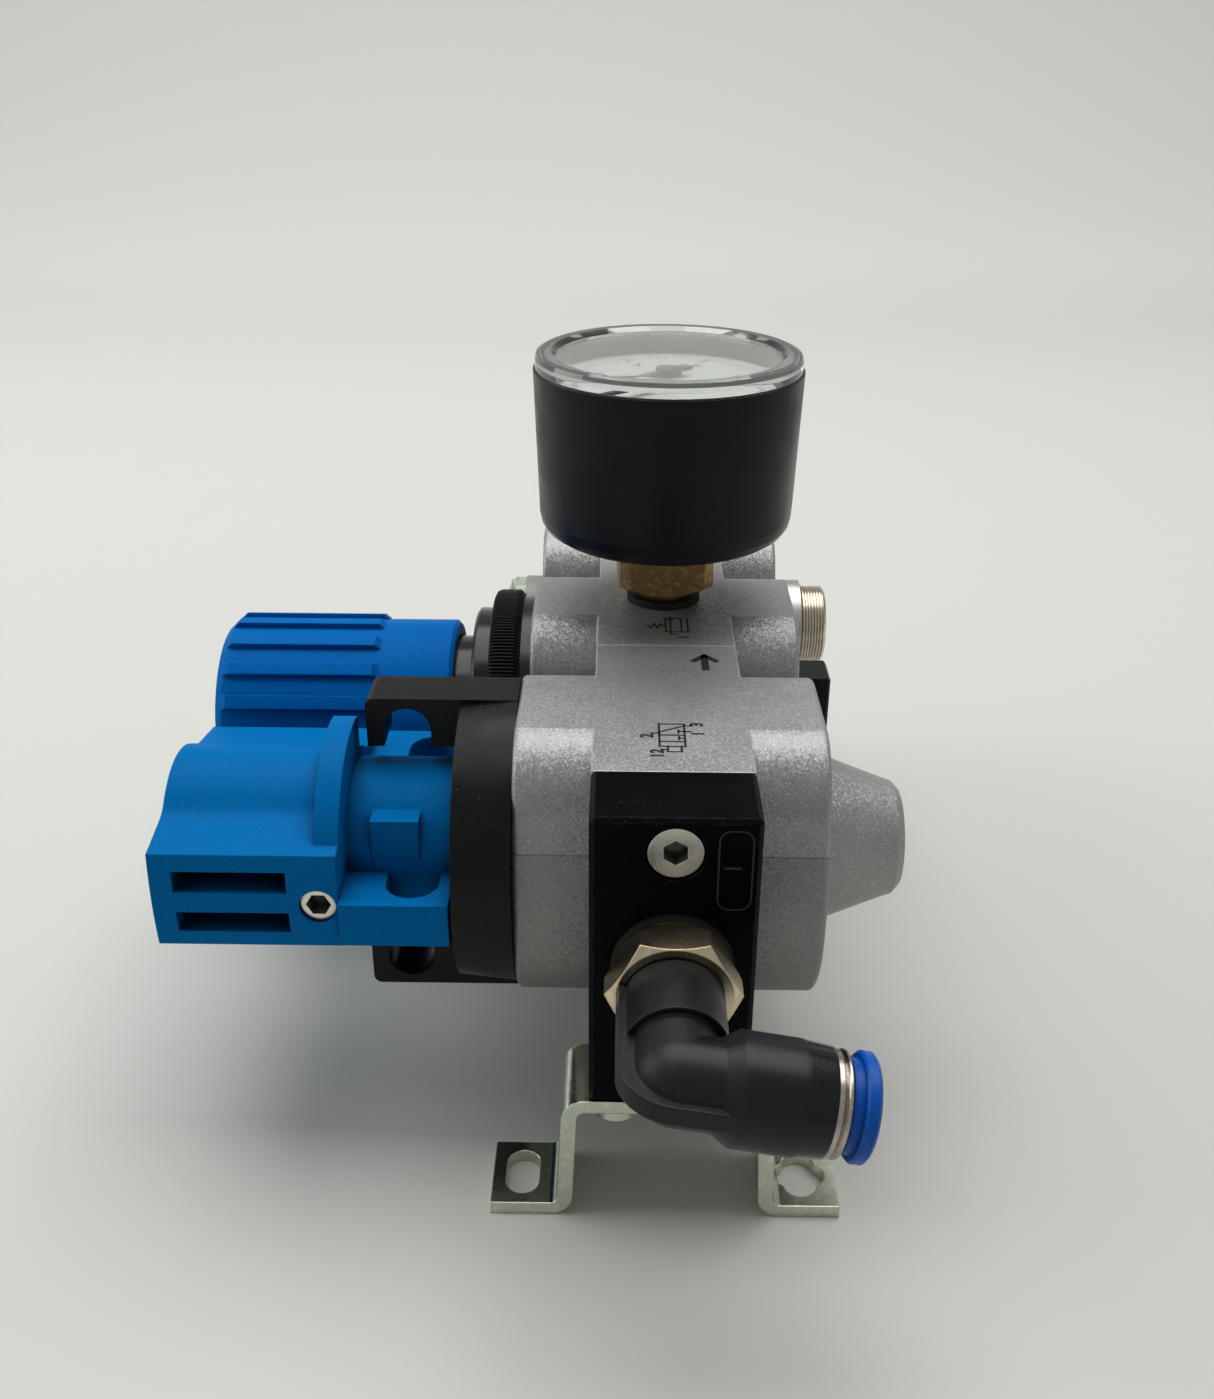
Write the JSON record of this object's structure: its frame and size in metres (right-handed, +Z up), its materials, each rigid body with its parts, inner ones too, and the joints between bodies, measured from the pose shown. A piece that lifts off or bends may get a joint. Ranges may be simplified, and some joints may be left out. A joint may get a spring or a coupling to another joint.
{
  "type": "filter regulator lubricator",
  "caption": "Modular compressed-air service unit: shut-off valve with lever, regulator with knob and round gauge, lubricator head, end plates, foot brackets and a swivel tube elbow.",
  "frame": {"origin": "on the floor at the centre of the four foot slots, under the axis of the regulator", "axes": "+Z up, +Y along the stack from the inlet plate to the outlet plate, +X to the side of the cone and the plugs"},
  "size_m": [0.1068, 0.1721, 0.1054],
  "materials": {
    "grey_casting": "light grey paint with fine metallic sparkle over a cast skin",
    "black_plate": "satin black anodised",
    "zinc_sheet": "bright zinc plate with a faint green cast",
    "bright_steel": "plated steel",
    "spring_steel": "oiled spring wire",
    "black_plastic": "matt moulded",
    "fitting_black": "satin moulded",
    "gauge_black": "satin moulded",
    "blue_plastic": "matt moulded",
    "blue_knob_plastic": "matt moulded",
    "release_blue": "smooth moulded",
    "grey_plastic": "matt moulded",
    "rubber_seal": "smooth rubber",
    "brass_parts": "turned brass",
    "aged_brass": "tarnished brass",
    "nickel_plate": "nickel plated brass",
    "bare_aluminium": "turned aluminium",
    "clear_window": "clear polished plastic",
    "clear_dome": "clear plastic, faint green",
    "dial_white": "white lacquered dial",
    "pointer_black": "black lacquer"
  },
  "bodies": {
    "housing": {"front_plate": "black_plate", "rear_plate": "black_plate", "front_bracket": "zinc_sheet", "rear_bracket": "zinc_sheet", "bracket_screws": "bright_steel", "plate_screws": "bright_steel", "stack_screws": "bright_steel", "module_seals": "rubber_seal", "valve_body": "grey_casting", "lever_base_ring": "black_plastic", "spool_spring": "spring_steel", "regulator_body": "grey_casting", "bonnet": "black_plastic", "union_nut": "black_plastic", "main_spring": "spring_steel", "diaphragm": "rubber_seal", "poppet_spring": "spring_steel", "valve_plug": "black_plastic", "gauge_socket": "aged_brass", "gauge_seal": "rubber_seal", "gauge_case": "gauge_black", "gauge_lens": "clear_window", "gauge_dial": "dial_white", "bourdon_tube": "brass_parts", "lubricator_body": "grey_casting", "dome_seat": "grey_plastic", "sight_dome": "clear_dome", "drip_insert": "brass_parts", "venturi_insert": "brass_parts", "fill_neck": "bare_aluminium", "fill_plug": "nickel_plate", "fitting_seal": "rubber_seal", "fitting_stud": "nickel_plate"},
    "lever": {"on_off_lever": "blue_plastic", "lever_set_screw": "bright_steel", "drive_spindle": "bright_steel", "spindle_seal": "rubber_seal"},
    "spool": {"valve_spool": "bare_aluminium", "spool_seals": "rubber_seal"},
    "spindle": {"adjusting_spindle": "bright_steel"},
    "knob": {"adjusting_knob": "blue_knob_plastic"},
    "load_plate": {"spring_plate": "brass_parts"},
    "valve_stem": {"diaphragm_clamp": "bare_aluminium", "valve_poppet": "brass_parts"},
    "pointer": {"gauge_pointer": "pointer_black"},
    "metering": {"metering_screw": "brass_parts"},
    "elbow": {"fitting_elbow": "fitting_black", "fitting_trim_ring": "nickel_plate", "grip_collet": "bright_steel", "tube_seal": "rubber_seal"},
    "release": {"release_ring": "release_blue"}
  },
  "joints": [
    {"name": "lever_turn", "type": "hinge", "parent": "housing", "child": "lever", "pos_m": [-0.04, -0.04, 0.0431], "axis": [1, 0, 0], "range_deg": [-90, 0]},
    {"name": "spool_slide", "type": "slide", "parent": "housing", "child": "spool", "axis": [1, 0, 0], "range_m": [0, 0.0035], "deforming": ["spool_spring"]},
    {"name": "pressure_turn", "type": "hinge", "parent": "housing", "child": "spindle", "pos_m": [-0.05, 0, 0.0431], "axis": [1, 0, 0], "range_deg": [-720, 720]},
    {"name": "load_plate_slide", "type": "slide", "parent": "housing", "child": "load_plate", "axis": [1, 0, 0], "range_m": [-0.003, 0.003], "deforming": ["main_spring"]},
    {"name": "knob_pull", "type": "slide", "parent": "spindle", "child": "knob", "axis": [-1, 0, 0], "range_m": [0, 0.003]},
    {"name": "valve_lift", "type": "slide", "parent": "housing", "child": "valve_stem", "axis": [1, 0, 0], "range_m": [0, 0.001], "stiffness_N_per_m": 1000, "springref_m": -0.001, "deforming": ["diaphragm", "poppet_spring"]},
    {"name": "pointer_turn", "type": "hinge", "parent": "housing", "child": "pointer", "pos_m": [0, 0, 0.098], "axis": [0, 0, 1], "range_deg": [-270, 0]},
    {"name": "metering_turn", "type": "hinge", "parent": "housing", "child": "metering", "pos_m": [-0.014, 0.04, 0.0459], "axis": [1, 0, 0], "range_deg": [0, 360]},
    {"name": "elbow_swivel", "type": "hinge", "parent": "housing", "child": "elbow", "pos_m": [0, -0.0934, 0.0431], "axis": [0, 1, 0], "continuous": true},
    {"name": "release_push", "type": "slide", "parent": "elbow", "child": "release", "axis": [-0.9848, 0, 0.1736], "range_m": [0, 0.0012], "stiffness_N_per_m": 400}
  ],
  "couplings": [
    {"joint": "spool_slide", "follows": "lever_turn", "m_per_rad": -0.002228},
    {"joint": "load_plate_slide", "follows": "pressure_turn", "m_per_rad": 0.0002387}
  ]
}
